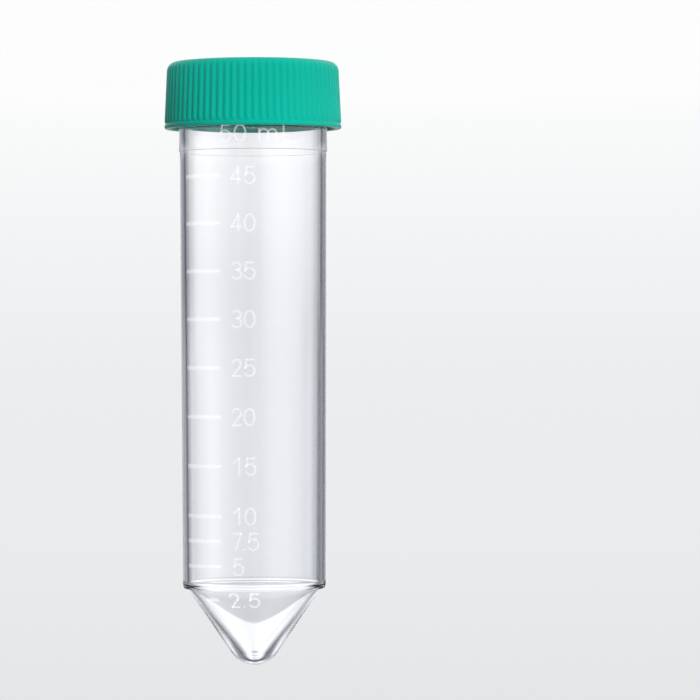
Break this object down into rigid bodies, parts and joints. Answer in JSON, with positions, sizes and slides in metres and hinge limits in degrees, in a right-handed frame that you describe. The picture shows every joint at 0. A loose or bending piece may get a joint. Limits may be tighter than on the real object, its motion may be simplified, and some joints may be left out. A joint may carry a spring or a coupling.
{
  "type": "50 ml conical centrifuge tube",
  "caption": "Clear conical centrifuge tube with raised graduations and a ribbed green screw cap, standing on its cap.",
  "frame": {"origin": "centre of the cap's flat top face, which the tube stands on", "axes": "+Z along the tube's axis from the cap to the conical tip, -Y towards the side with the numerals, the graduation lines reach from there towards +X"},
  "size_m": [0.0346, 0.0346, 0.1176],
  "materials": {
    "clear_plastic": "clear gloss moulding",
    "green_plastic": "satin moulding"
  },
  "bodies": {
    "cap": {"cap": "green_plastic"},
    "tube": {"tube": "clear_plastic"}
  },
  "joints": [
    {"name": "tube_lift_off", "type": "slide", "parent": "cap", "child": "tube", "axis": [0, 0, 1], "range_m": [0, 0.03]}
  ]
}
